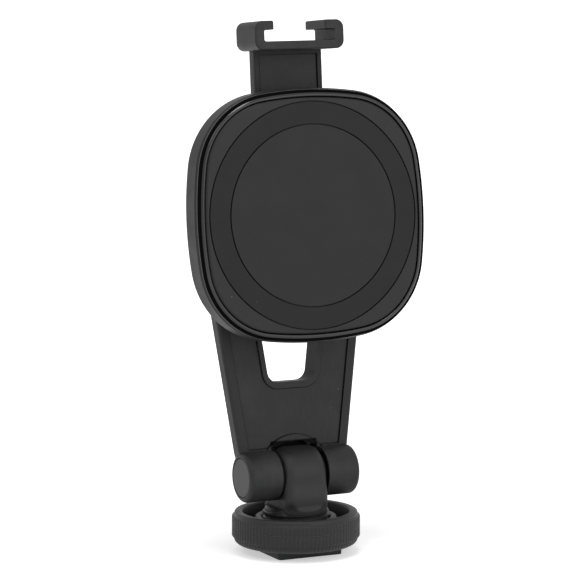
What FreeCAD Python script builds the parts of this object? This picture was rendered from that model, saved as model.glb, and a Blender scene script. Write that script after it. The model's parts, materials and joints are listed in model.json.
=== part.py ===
# Magnetic phone mount for a camera's hot shoe.
# Millimetres. X is to the right, Y to the back, Z up, and the origin is the middle of the foot's underside.
# The base stands on Z. Everything that tilts is drawn in a frame of its own at the hinge, where x is the
# hinge axis, y runs up the arm and z comes out of the arm towards the phone.
import FreeCAD, Part
import Sketcher
import math
import os
import re

Vector = FreeCAD.Vector
Rotation = FreeCAD.Rotation

# Driving dimensions, each written once
SIZES = {
    # foot, threaded post and stem
    "foot_width": 17.9,
    "foot_depth": 17.7,
    "foot_thick": 2.0,
    "foot_corner": 1.0,
    "foot_edge": 0.25,
    "post_radius": 8.6,
    "post_top": 11.9,
    "post_chamfer": 1.2,
    "stem_width": 12.0,
    "stem_corner": 1.6,
    "knuckle_radius": 6.6,
    "hinge_height": 20.15,
    # lock ring, heights above its own underside
    "washer_gap": 0.05,
    "washer_thick": 0.8,
    "washer_proud": 0.3,
    "washer_play": 0.15,
    "thread_play": 0.08,
    "ring_height": 8.35,
    "ring_low_height": 0.8,
    "band_radius": 16.35,
    "band_step": 0.6,
    "base_step": 1.35,
    "rim_wall": 2.7,
    "washer_step": 4.35,
    "band_bottom": 1.35,
    "band_top": 7.15,
    "rim_edge": 0.35,
    "dish_floor": 4.4,
    "collar_radius": 10.4,
    "collar_height": 7.0,
    "knurl_count": 96,
    "knurl_width": 0.5,
    "knurl_depth": 0.25,
    # tilt hinge
    "barrel_radius": 6.35,
    "barrel_gap": 12.5,
    "barrel_length": 30.8,
    "barrel_edge": 1.2,
    "knuckle_play": 0.6,
    "bolt_radius": 2.0,
    "bolt_play": 0.05,
    "bush_radius": 3.2,
    "friction_radius": 4.9,
    "friction_thick": 0.7,
    "friction_proud": 0.2,
    "bolt_head_radius": 3.5,
    "bolt_head_height": 2.8,
    "bolt_socket": 2.5,
    "head_pocket_radius": 4.1,
    "head_pocket_depth": 4.35,
    "spring_thick": 0.6,
    "spring_radius": 3.8,
    "nut_width": 7.0,
    "nut_thick": 3.2,
    "cap_radius": 5.05,
    "cap_thick": 1.0,
    "cap_play": 0.04,
    "cap_edge": 0.25,
    # arm
    "lean": 4.84,
    "arm_set": 0.39,
    "arm_thick": 4.28,
    "root_inset": 0.95,
    "root_step": 0.2,
    "flare": 0.142,
    "arm_edge": 0.9,
    "rim_width": 2.6,
    "panel_depth": 0.5,
    "line_width": 0.28,
    "line_depth": 0.35,
    "panel_low": 6.7,
    "panel_high": 43.0,
    "arch_radius": 8.5,
    "arch_rim": 1.4,
    "arch_depth": 2.6,
    "window_low": 23.5,
    "window_high": 41.0,
    "window_half": 6.4,
    "window_corner": 2.9,
    "window_draft": 0.95,
    "window_side_rim": 1.3,
    "window_low_rim": 1.6,
    "fold_start": 44.5,
    "fold_end": 54.0,
    "neck_gap": 2.93,
    "neck_thick": 3.1,
    "neck_half": 9.5,
    "neck_rim": 1.35,
    "neck_panel_depth": 0.4,
    "neck_panel_low": 90.5,
    "neck_panel_gap": 0.85,
    # cold shoe on top
    "shoe_height": 107.35,
    "shoe_reach": 7.38,
    "shoe_tail": 4.32,
    "shoe_half": 12.3,
    "shoe_floor": 2.17,
    "shoe_slot": 2.88,
    "shoe_lip": 2.25,
    "shoe_slot_half": 9.85,
    "shoe_mouth_half": 7.1,
    "shoe_corner": 2.1,
    "shoe_inner_corner": 0.5,
    "shoe_edge": 0.45,
    "neck_edge": 0.5,
    # swivel between the arm and the plate
    "plate_rise": 65.9,
    "hub_radius": 9.0,
    "hub_floor": 5.35,
    "boss_depth": 5.0,
    "hub_washer_thick": 0.32,
    "hub_play": 0.03,
    "swivel_radius": 2.0,
    "swivel_play": 0.06,
    "swivel_head_radius": 3.6,
    "swivel_head_height": 1.8,
    "boss_radius": 7.6,
    "swivel_pocket_radius": 4.7,
    "swivel_cap_radius": 5.7,
    # magnetic plate, depths behind the face
    "face_reach": 15.85,
    "plate_half": 31.75,
    "side_bow": 95.0,
    "corner_setback": 10.95,
    "shell_front": 0.65,
    "shell_depth": 8.55,
    "shell_wall": 1.5,
    "shell_floor": 1.8,
    "shell_chamfer": 0.45,
    "shell_chamfer_depth": 1.2,
    "shell_back_edge": 2.1,
    "bezel_inset": 1.1,
    "bezel_width": 0.85,
    "bezel_front": 0.4,
    "bezel_depth": 2.6,
    "bezel_edge": 0.25,
    "trim_gap": 0.1,
    "cover_gap": 0.25,
    "cover_thick": 1.6,
    "cover_edge": 0.75,
    "face_margin": 3.15,
    "face_recess_depth": 0.9,
    "grip_width": 6.0,
    "groove_width": 0.32,
    "magnet_margin": 0.6,
    "magnet_width": 5.0,
    "magnet_thick": 2.0,
    "magnet_gap": 0.3,
    "magnet_count": 18,
    "magnet_play": 0.05,
    "yoke_thick": 0.8,
    "carrier_wall": 1.0,
    "carrier_relief": 1.2,
    "screw_gap": 0.55,
    "screw_radius": 0.9,
    "screw_boss_radius": 1.9,
    "screw_head_radius": 1.7,
    "screw_head_height": 1.1,
    "screw_sink": 1.3,
    "screw_length": 6.0,
}

# Dimensions that follow from those above
FOLLOWING = {
    "ring_base_radius": "band_radius - base_step",
    "ring_low_radius": "band_radius - band_step",
    "rim_radius": "band_radius - band_step",
    "dish_radius": "band_radius - rim_wall",
    "washer_radius": "band_radius - washer_step",
    "root_half": "barrel_length / 2 - root_inset",
    "pocket_floor": "barrel_length / 2 - cap_thick - head_pocket_depth",
    "shell_back": "face_reach - shell_depth",
    "hub_front": "shell_back - hub_washer_thick - hub_play",
    "neck_front": "shell_back - neck_gap",
    "swivel_seat": "hub_front - hub_floor",
    "boss_end": "swivel_seat - boss_depth",
    "shoe_front": "neck_front + shoe_reach",
    "shoe_back": "neck_front - shoe_tail",
    "plate_corner": "plate_half - corner_setback",
    "face_recess_radius": "plate_half - face_margin",
    "disc_radius": "face_recess_radius - grip_width",
    "magnet_outer": "face_recess_radius - magnet_margin",
    "magnet_inner": "magnet_outer - magnet_width",
    "screw_ring": "magnet_outer + magnet_play + carrier_wall + screw_gap + screw_boss_radius",
}

doc = FreeCAD.newDocument("phone_mount")
sheet = doc.addObject("Spreadsheet::Sheet", "Sizes")
for row, (alias, number) in enumerate(SIZES.items(), start=1):
    sheet.set("A%d" % row, alias)
    sheet.set("B%d" % row, str(number))
    sheet.setAlias("B%d" % row, alias)
for row, (alias, formula) in enumerate(FOLLOWING.items(), start=len(SIZES) + 1):
    sheet.set("A%d" % row, alias)
    sheet.set("B%d" % row, "=" + formula)
    sheet.setAlias("B%d" % row, alias)
doc.recompute()
NAMES = set(SIZES) | set(FOLLOWING)

parts = []


def bound(text):
    """An expression in plain size names, with each name pointed at the sheet."""
    return re.sub(r"[a-z_]{3,}", lambda found: "Sizes." + found.group() if found.group() in NAMES else found.group(), text)


def value(text):
    """The number that an expression in size names gives now."""
    return float(sheet.evalExpression(bound(text)))


def bind(thing, field, text):
    thing.setExpression(field, bound(text))


# Names for lengths that follow from the sizes
HALF_GAP = "barrel_gap / 2"
HALF_BARREL = "barrel_length / 2"
RING_BASE = "(foot_thick + washer_gap + washer_proud)"
KNUCKLE_SEAT = "(stem_width / 2 - friction_thick + friction_proud)"
POCKET_FLOOR = "pocket_floor"
ARM_BACK = "(arm_set + arm_thick)"
NECK_BACK = "(neck_front - neck_thick)"
HEAD_RADIUS = "((root_half + flare * plate_rise) * cos(atan(flare)))"
TANGENT_RISE = "(plate_rise - %s * sin(atan(flare)))" % HEAD_RADIUS
TANGENT_HALF = "(root_half + flare * %s)" % TANGENT_RISE
SHOE_HEIGHT = "(shoe_floor + shoe_slot + shoe_lip)"
SHELL_BACK = "shell_back"
SHELL_INSIDE = "(shell_back + shell_floor)"
COVER_BACK = "(face_reach - cover_thick)"
COVER_INSET = "(bezel_inset + bezel_width + cover_gap)"


def new_body(label):
    body = doc.addObject("PartDesign::Body", label)
    body.Label = label
    parts.append(body)
    return body


def origin_feature(body, role):
    return [item for item in body.Origin.OriginFeatures if item.Role == role][0]


def stand(body, height="0"):
    """Place a piece of the base, straight up the Z axis."""
    bind(body, "Placement.Base.z", height)


def seat(body, rise="0"):
    """Place a piece of the tilting group: at the hinge, or further up the arm."""
    body.Placement = FreeCAD.Placement(Vector(0, 0, 0), Rotation(Vector(1, 0, 0), 80))
    bind(body, "Placement.Rotation.Angle", "90 - lean")
    bind(body, "Placement.Base.y", "%s * sin(lean)" % rise)
    bind(body, "Placement.Base.z", "hinge_height + %s * cos(lean)" % rise)


def new_sketch(body, role, offset="0"):
    sketch = body.newObject("Sketcher::SketchObject", body.Name + "_sketch")
    sketch.AttachmentSupport = (origin_feature(body, role), "")
    sketch.MapMode = "FlatFace"
    bind(sketch, "AttachmentOffset.Base.z", offset)
    return sketch


def fix(sketch, kind, geometry, point, text):
    """Hold one coordinate of a point at an expression, measured from the sketch's origin."""
    index = sketch.addConstraint(Sketcher.Constraint(kind, -1, 1, geometry, point, value(text)))
    sketch.setExpression("Constraints[%d]" % index, bound(text))


def polygon(sketch, points):
    """A closed outline whose corners are pairs of expressions."""
    first = sketch.GeometryCount
    places = [Vector(value(x), value(y), 0) for x, y in points]
    count = len(points)
    for i in range(count):
        sketch.addGeometry(Part.LineSegment(places[i], places[(i + 1) % count]))
    for i in range(count):
        sketch.addConstraint(Sketcher.Constraint("Coincident", first + i, 2, first + (i + 1) % count, 1))
        fix(sketch, "DistanceX", first + i, 1, points[i][0])
        fix(sketch, "DistanceY", first + i, 1, points[i][1])


def rectangle(sketch, left, low, right, high):
    polygon(sketch, [(left, low), (right, low), (right, high), (left, high)])


def circle(sketch, radius, x="0", y="0"):
    centre = Vector(value(x), value(y), 0)
    index = sketch.addGeometry(Part.Circle(centre, Vector(0, 0, 1), value(radius)))
    fix(sketch, "DistanceX", index, 3, x)
    fix(sketch, "DistanceY", index, 3, y)
    size = sketch.addConstraint(Sketcher.Constraint("Radius", index, value(radius)))
    sketch.setExpression("Constraints[%d]" % size, bound(radius))


def hexagon(sketch, width):
    """A hexagon by its width across flats, two flats parallel to the sketch's x axis."""
    corner = "(%s / sqrt(3))" % width
    half = "(%s / 2)" % width
    polygon(sketch, [(corner, "0"), (corner + " / 2", half), ("-" + corner + " / 2", half),
                     ("-" + corner, "0"), ("-" + corner + " / 2", "-" + half), (corner + " / 2", "-" + half)])


def half_disc(sketch, radius):
    """The upper half of a disc about the origin."""
    size = value(radius)
    arc = sketch.addGeometry(Part.ArcOfCircle(Part.Circle(Vector(0, 0, 0), Vector(0, 0, 1), size), 0, 3.14159265))
    line = sketch.addGeometry(Part.LineSegment(Vector(-size, 0, 0), Vector(size, 0, 0)))
    sketch.addConstraint(Sketcher.Constraint("Coincident", arc, 2, line, 1))
    sketch.addConstraint(Sketcher.Constraint("Coincident", line, 2, arc, 1))
    fix(sketch, "DistanceX", arc, 3, "0")
    fix(sketch, "DistanceY", arc, 3, "0")
    sketch.addConstraint(Sketcher.Constraint("Horizontal", line))
    index = sketch.addConstraint(Sketcher.Constraint("Radius", arc, size))
    sketch.setExpression("Constraints[%d]" % index, bound(radius))


def bowed_square(sketch, inset="0"):
    """The plate's outline: four long bowed sides with a round corner tangent between each pair.

    inset is how far inside the plate's own outline this one lies.
    """
    half = value("plate_half - " + inset)
    bow = value("side_bow - " + inset)
    corner = value("plate_corner - " + inset)
    away = bow - half
    # the corner's centre lies on the diagonal, as far from each bow's centre as their radii differ
    middle = (((2 * (bow - corner) ** 2 - away ** 2) ** 0.5) - away) / 2
    first = sketch.GeometryCount
    east = Vector(middle + away, middle, 0)
    east.normalize()
    turn = FreeCAD.Rotation(Vector(0, 0, 1), 90)
    slant = Vector(1, 1, 0)
    slant.normalize()
    corner_centre = Vector(middle, middle, 0)
    start = corner_centre + east * corner
    mirrored = Vector(start.y, start.x, 0)
    quarter = [
        (Vector(start.x, -start.y, 0), Vector(half, 0, 0), start),
        (start, corner_centre + slant * corner, mirrored),
    ]
    spin = FreeCAD.Rotation()
    for i in range(4):
        for ends in quarter:
            sketch.addGeometry(Part.Arc(*[spin.multVec(point) for point in ends]))
        spin = turn.multiply(spin)
    for i in range(8):
        sketch.addConstraint(Sketcher.Constraint("Tangent", first + i, 2, first + (i + 1) % 8, 1))
    for i in (1, 3):
        sketch.addConstraint(Sketcher.Constraint("Equal", first, first + 2 * i))
        sketch.addConstraint(Sketcher.Constraint("Equal", first + 1, first + 2 * i + 1))
    for i, along, across, sign in ((0, "DistanceX", "DistanceY", "-"), (2, "DistanceY", "DistanceX", "-"),
                                   (4, "DistanceX", "DistanceY", ""), (6, "DistanceY", "DistanceX", "")):
        fix(sketch, along, first + i, 3, "%s(side_bow - plate_half)" % sign)
        fix(sketch, across, first + i, 3, "0")
    for i, size in ((0, "side_bow"), (1, "plate_corner")):
        index = sketch.addConstraint(Sketcher.Constraint("Radius", first + i, value("%s - %s" % (size, inset))))
        sketch.setExpression("Constraints[%d]" % index, bound("%s - %s" % (size, inset)))


def pad(body, sketch, length, both_ways=False):
    feature = body.newObject("PartDesign::Pad", body.Name + "_pad")
    feature.Profile = sketch
    feature.SideType = "Symmetric" if both_ways else "One side"
    bind(feature, "Length", length)
    doc.recompute()
    return feature


def pocket(body, sketch, length, both_ways=False, upward=False):
    """Cut below the sketch, above it, or half each way."""
    before = body.Shape.Volume
    feature = body.newObject("PartDesign::Pocket", body.Name + "_pocket")
    feature.Profile = sketch
    feature.SideType = "Symmetric" if both_ways else "One side"
    feature.Reversed = upward
    bind(feature, "Length", length)
    doc.recompute()
    if feature.Shape.Volume > before - 1e-6:
        raise SystemExit("%s cuts nothing" % feature.Name)
    return feature


def turn_profile(body, points, role="Z_Axis", plane="XZ_Plane"):
    """Revolve a closed profile about one of the body's axes."""
    sketch = new_sketch(body, plane)
    polygon(sketch, points)
    feature = body.newObject("PartDesign::Revolution", body.Name + "_turned")
    feature.Profile = sketch
    feature.ReferenceAxis = (origin_feature(body, role), [""])
    feature.Angle = 360
    doc.recompute()
    return feature


def dress(body, kind, chosen, size):
    """Round or bevel the edges that chosen picks from the body's present shape."""
    base = body.Tip
    names = ["Edge%d" % (i + 1) for i, edge in enumerate(base.Shape.Edges) if chosen(edge)]
    if not names:
        raise SystemExit("no edge to dress on %s for %s" % (body.Label, size))
    feature = body.newObject("PartDesign::" + kind, body.Name + "_" + kind.lower())
    feature.Base = (base, names)
    bind(feature, "Radius" if kind == "Fillet" else "Size", size)
    doc.recompute()
    return feature


def rounded_bar(body, half, radius, edge):
    """A round bar along x with its two end edges rounded."""
    half_now, radius_now, edge_now = value(half), value(radius), value(edge)
    sketch = new_sketch(body, "XY_Plane")
    right, top = half_now - edge_now, radius_now - edge_now
    normal = Vector(0, 0, 1)
    right_arc = Part.Circle(Vector(right, top, 0), normal, edge_now)
    left_arc = Part.Circle(Vector(-right, top, 0), normal, edge_now)
    sketch.addGeometry(Part.LineSegment(Vector(-half_now, 0, 0), Vector(half_now, 0, 0)))
    sketch.addGeometry(Part.LineSegment(Vector(half_now, 0, 0), Vector(half_now, top, 0)))
    sketch.addGeometry(Part.ArcOfCircle(right_arc, 0, 1.5707963268))
    sketch.addGeometry(Part.LineSegment(Vector(right, radius_now, 0), Vector(-right, radius_now, 0)))
    sketch.addGeometry(Part.ArcOfCircle(left_arc, 1.5707963268, 3.1415926536))
    sketch.addGeometry(Part.LineSegment(Vector(-half_now, top, 0), Vector(-half_now, 0, 0)))
    sketch.addConstraint(Sketcher.Constraint("Coincident", 0, 2, 1, 1))
    for i in (1, 2, 3, 4):
        sketch.addConstraint(Sketcher.Constraint("Tangent", i, 2, i + 1, 1))
    sketch.addConstraint(Sketcher.Constraint("Coincident", 5, 2, 0, 1))
    sketch.addConstraint(Sketcher.Constraint("Vertical", 1))
    sketch.addConstraint(Sketcher.Constraint("Vertical", 5))
    sketch.addConstraint(Sketcher.Constraint("Horizontal", 3))
    fix(sketch, "DistanceX", 0, 1, "-(%s)" % half)
    fix(sketch, "DistanceY", 0, 1, "0")
    fix(sketch, "DistanceX", 0, 2, half)
    fix(sketch, "DistanceY", 0, 2, "0")
    fix(sketch, "DistanceY", 3, 1, radius)
    for i in (2, 4):
        index = sketch.addConstraint(Sketcher.Constraint("Radius", i, edge_now))
        sketch.setExpression("Constraints[%d]" % index, bound(edge))
    feature = body.newObject("PartDesign::Revolution", body.Name + "_turned")
    feature.Profile = sketch
    feature.ReferenceAxis = (origin_feature(body, "X_Axis"), [""])
    feature.Angle = 360
    doc.recompute()
    return feature


def near(a, b, slack=0.02):
    return abs(a - b) < slack


def is_ring(edge, radius, height, axis="z"):
    """True for a full circle of this radius at this height along the axis."""
    if edge.Degenerated:
        return False
    if edge.Curve.TypeId != "Part::GeomCircle" or not edge.isClosed():
        return False
    return near(edge.Curve.Radius, radius) and near(getattr(edge.Curve.Center, axis), height)


def along_z_at(edge, places):
    """True for a straight edge parallel to z that stands at one of the places."""
    low, high = edge.Vertexes[0].Point, edge.Vertexes[-1].Point
    upright = near(low.x, high.x) and near(low.y, high.y) and abs(low.z - high.z) > 0.01
    return upright and any(near(low.x, x) and near(low.y, y) for x, y in places)


def joins_faces(edge, front, back, corners):
    """True for an edge from one of the corners, or its mirror image, in the plane z = front to the plane z = back."""
    ends = sorted((vertex.Point for vertex in edge.Vertexes), key=lambda point: -point.z)
    if len(ends) < 2 or not near(ends[0].z, front) or not near(ends[1].z, back):
        return False
    return any(near(abs(ends[0].x), x) and near(ends[0].y, y) for x, y in corners)


def at_height(edge, height, reach):
    """True for an edge that lies in the plane z = height, further out than reach."""
    box = edge.BoundBox
    level = near(box.ZMin, height) and near(box.ZMax, height)
    middle = edge.valueAt((edge.FirstParameter + edge.LastParameter) / 2)
    return level and max(abs(middle.x), abs(middle.y)) > reach


def plain_ring(label, role, offset, thickness, outer, inner):
    """A flat washer or ring, its axis along the normal of the given origin plane."""
    body = new_body(label)
    sketch = new_sketch(body, role, offset)
    circle(sketch, outer)
    circle(sketch, inner)
    pad(body, sketch, thickness)
    return body


# Base: foot, threaded post, stem and knuckle, one moulding

def make_shoe_stem():
    body = new_body("shoe_stem")
    sketch = new_sketch(body, "XY_Plane")
    rectangle(sketch, "-foot_width / 2", "-foot_depth / 2", "foot_width / 2", "foot_depth / 2")
    pad(body, sketch, "foot_thick")
    x, y = value("foot_width / 2"), value("foot_depth / 2")
    dress(body, "Fillet", lambda edge: along_z_at(edge, [(x, y), (x, -y), (-x, y), (-x, -y)]), "foot_corner")
    dress(body, "Chamfer", lambda edge: at_height(edge, 0, 0), "foot_edge")

    # the stem is as deep as its round top, so that its front and back run straight into the knuckle
    sketch = new_sketch(body, "YZ_Plane")
    rectangle(sketch, "-knuckle_radius", "foot_thick", "knuckle_radius", "hinge_height")
    pad(body, sketch, "stem_width", both_ways=True)
    sketch = new_sketch(body, "YZ_Plane")
    circle(sketch, "knuckle_radius", "0", "hinge_height")
    pad(body, sketch, "stem_width", both_ways=True)
    cheek = value("stem_width / 2")
    dress(body, "Fillet", lambda edge: near(abs(edge.BoundBox.XMin), cheek) and near(abs(edge.BoundBox.XMax), cheek)
          and edge.BoundBox.XLength < 0.01 and edge.BoundBox.ZMax > value("foot_thick + 1"), "stem_corner")

    # the post round the stem, plain up to its bevelled top; its fine thread is left to the render
    turn_profile(body, [("0", "foot_thick"), ("post_radius", "foot_thick"), ("post_radius", "post_top - post_chamfer"),
                        ("post_radius - post_chamfer", "post_top"), ("0", "post_top")])

    # bore for the bush, and a seat for a friction washer in each cheek
    sketch = new_sketch(body, "YZ_Plane")
    circle(sketch, "bush_radius", "0", "hinge_height")
    pocket(body, sketch, "stem_width + 2", both_ways=True)
    sketch = new_sketch(body, "YZ_Plane", KNUCKLE_SEAT)
    circle(sketch, "friction_radius", "0", "hinge_height")
    pocket(body, sketch, "friction_thick + 1", upward=True)
    sketch = new_sketch(body, "YZ_Plane", "-" + KNUCKLE_SEAT)
    circle(sketch, "friction_radius", "0", "hinge_height")
    pocket(body, sketch, "friction_thick + 1")


def make_hinge_bush():
    body = plain_ring("hinge_bush", "YZ_Plane", "-" + KNUCKLE_SEAT, "2 * " + KNUCKLE_SEAT,
                      "bush_radius", "bolt_radius + bolt_play")
    stand(body, "hinge_height")


def make_friction_washers():
    for side, offset in (("left", "-(%s + friction_thick)" % KNUCKLE_SEAT), ("right", KNUCKLE_SEAT)):
        body = plain_ring("friction_washer_" + side, "YZ_Plane", offset, "friction_thick",
                          "friction_radius", "bolt_radius + bolt_play")
        stand(body, "hinge_height")


# Clamp: the soft washer and the knurled lock ring

def make_clamp_washer():
    body = plain_ring("clamp_washer", "XY_Plane", "foot_thick + washer_gap", "washer_thick",
                      "washer_radius", "post_radius + washer_play")
    stand(body)


def make_lock_ring():
    body = new_body("lock_ring")
    stand(body, RING_BASE)
    bore = "(post_radius + thread_play)"
    recess = "(washer_thick - washer_proud)"
    turn_profile(body, [
        ("washer_radius + washer_play", "0"),
        ("ring_base_radius", "0"),
        ("ring_low_radius", "ring_low_height"),
        ("ring_low_radius", "band_bottom"),
        ("band_radius", "band_bottom + band_radius - ring_low_radius"),
        ("band_radius", "band_top"),
        ("rim_radius", "band_top + 0.15"),
        ("rim_radius", "ring_height"),
        ("dish_radius", "ring_height"),
        ("dish_radius - 0.25", "dish_floor"),
        ("collar_radius + 0.3", "dish_floor"),
        ("collar_radius", "collar_height"),
        (bore, "collar_height"),
        (bore, recess),
        ("washer_radius + washer_play", recess),
    ])
    dress(body, "Fillet", lambda edge: is_ring(edge, value("ring_base_radius"), 0)
          or is_ring(edge, value("ring_low_radius"), value("ring_low_height"))
          or is_ring(edge, value("rim_radius"), value("ring_height"))
          or is_ring(edge, value("dish_radius"), value("ring_height"))
          or is_ring(edge, value("collar_radius"), value("collar_height")), "rim_edge")

    # knurling: one V groove down the outside, repeated round the ring
    sketch = new_sketch(body, "XY_Plane", "band_top")
    polygon(sketch, [("band_radius - knurl_depth", "0"), ("band_radius + 0.1", "-knurl_width / 2"),
                     ("band_radius + 0.1", "knurl_width / 2")])
    groove = pocket(body, sketch, "band_top + 1")
    pattern = body.newObject("PartDesign::PolarPattern", "knurling")
    pattern.Originals = [groove]
    pattern.Axis = (origin_feature(body, "Z_Axis"), [""])
    pattern.Angle = 360
    bind(pattern, "Occurrences", "knurl_count")
    body.Tip = pattern
    doc.recompute()


# Arm: barrels, tapered plate, neck and cold shoe, one moulding

def arm_half(rise):
    """Half of the tapered plate's width at a height above the hinge."""
    return "(root_half + flare * (%s))" % rise


def panel_outline(sketch, inset):
    """The arm's recessed panel, as far inside its own edge as inset."""
    low, high = "(panel_low + %s)" % inset, "(panel_high - %s)" % inset
    low_half = "(%s - rim_width - %s)" % (arm_half(low), inset)
    high_half = "(%s - rim_width - %s)" % (arm_half(high), inset)
    polygon(sketch, [("-" + low_half, low), (low_half, low), (high_half, high), ("-" + high_half, high)])


def window_frame(sketch, outset):
    """The rim round the window with its two low corners round, as far outside its own edge as outset."""
    low, high = "(window_low - window_low_rim - %s)" % outset, "(window_high + window_low_rim + %s)" % outset
    low_half = "(window_half + window_side_rim + %s + flare * (%s - window_low))" % (outset, low)
    high_half = "(window_half + window_side_rim + %s + flare * (%s - window_low))" % (outset, high)
    size = "(window_corner + window_side_rim + %s)" % outset
    # the corner's centre, as far from the sloping side as from the low edge
    middle = "(%s + flare * %s - %s * sqrt(1 + flare * flare))" % (low_half, size, size)
    x, y, radius = value(middle), value("%s + %s" % (low, size)), value(size)
    top = Vector(value(high_half), value(high), 0)
    slope = math.atan(value("flare"))
    touch = Vector(x + radius * math.cos(slope), y - radius * math.sin(slope), 0)
    normal = Vector(0, 0, 1)
    right_arc = Part.Circle(Vector(x, y, 0), normal, radius)
    left_arc = Part.Circle(Vector(-x, y, 0), normal, radius)
    down = -math.pi / 2
    sketch.addGeometry(Part.LineSegment(Vector(-x, y - radius, 0), Vector(x, y - radius, 0)))
    sketch.addGeometry(Part.ArcOfCircle(right_arc, down, -slope))
    sketch.addGeometry(Part.LineSegment(touch, top))
    sketch.addGeometry(Part.LineSegment(top, Vector(-top.x, top.y, 0)))
    sketch.addGeometry(Part.LineSegment(Vector(-top.x, top.y, 0), Vector(-touch.x, touch.y, 0)))
    sketch.addGeometry(Part.ArcOfCircle(left_arc, math.pi + slope, down + 2 * math.pi))
    for one, end, other, start in ((0, 2, 1, 1), (1, 2, 2, 1), (4, 2, 5, 1), (5, 2, 0, 1)):
        sketch.addConstraint(Sketcher.Constraint("Tangent", one, end, other, start))
    sketch.addConstraint(Sketcher.Constraint("Coincident", 2, 2, 3, 1))
    sketch.addConstraint(Sketcher.Constraint("Coincident", 3, 2, 4, 1))
    for arc, sign in ((1, ""), (5, "-")):
        fix(sketch, "DistanceX", arc, 3, sign + middle)
        fix(sketch, "DistanceY", arc, 3, "%s + %s" % (low, size))
        index = sketch.addConstraint(Sketcher.Constraint("Radius", arc, radius))
        sketch.setExpression("Constraints[%d]" % index, bound(size))
    fix(sketch, "DistanceX", 3, 1, high_half)
    fix(sketch, "DistanceY", 3, 1, high)
    fix(sketch, "DistanceX", 3, 2, "-" + high_half)
    fix(sketch, "DistanceY", 3, 2, high)


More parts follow.
